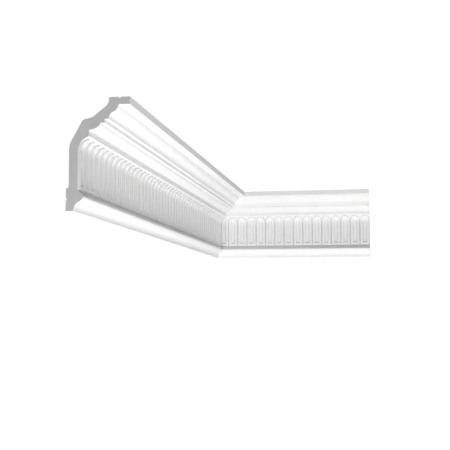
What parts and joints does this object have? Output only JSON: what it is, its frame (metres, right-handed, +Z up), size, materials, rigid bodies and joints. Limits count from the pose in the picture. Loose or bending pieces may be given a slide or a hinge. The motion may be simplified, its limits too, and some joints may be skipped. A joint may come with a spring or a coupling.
{
  "type": "mitred cornice moulding",
  "caption": "Fluted cornice moulding for the joint of wall and ceiling: a long and a short length mitred at an inside corner, each cut square at its far end.",
  "frame": {"origin": "where both wall faces meet the bottom edge of the moulding, in the inside corner of the room", "axes": "+Z up to the ceiling, -X into the wall behind the long length, +Y into the wall behind the short length; the long length runs along -Y and the short one along +X"},
  "size_m": [0.415, 1.183, 0.167],
  "materials": {
    "primed_foam": "matt white primer on hard moulded foam, bare grey-white foam at the cut ends"
  },
  "bodies": {
    "root": {"long_length": "primed_foam", "short_length": "primed_foam"}
  },
  "joints": []
}
